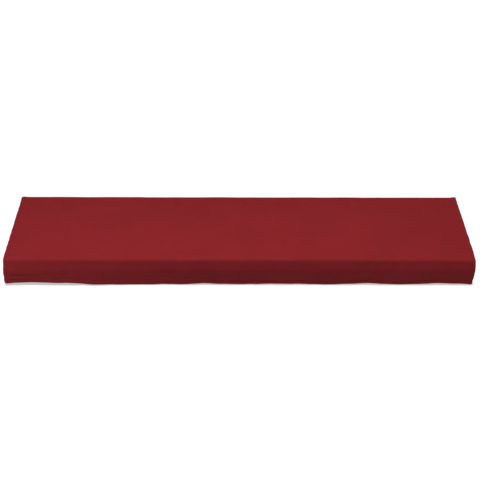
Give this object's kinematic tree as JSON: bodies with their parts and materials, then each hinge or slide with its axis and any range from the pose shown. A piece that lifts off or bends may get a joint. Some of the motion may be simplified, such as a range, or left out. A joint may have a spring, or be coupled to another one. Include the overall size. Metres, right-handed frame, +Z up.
{
  "type": "piano cover",
  "caption": "Fitted cloth cover for a stage piano: a long low open-bottomed hood with sewn end panels and a turned-in hem.",
  "frame": {"origin": "middle of the underside of the top, where the top of the piano's case bears", "axes": "+X along the keys to the right, +Y towards the back of the piano, +Z up"},
  "size_m": [1.2959, 0.3438, 0.0889],
  "materials": {
    "cover_cloth": "fine matte deep red stretch cloth with a faint sheen"
  },
  "bodies": {
    "root": {"main_panel": "cover_cloth", "end_panel_left": "cover_cloth", "end_panel_right": "cover_cloth"}
  },
  "joints": []
}
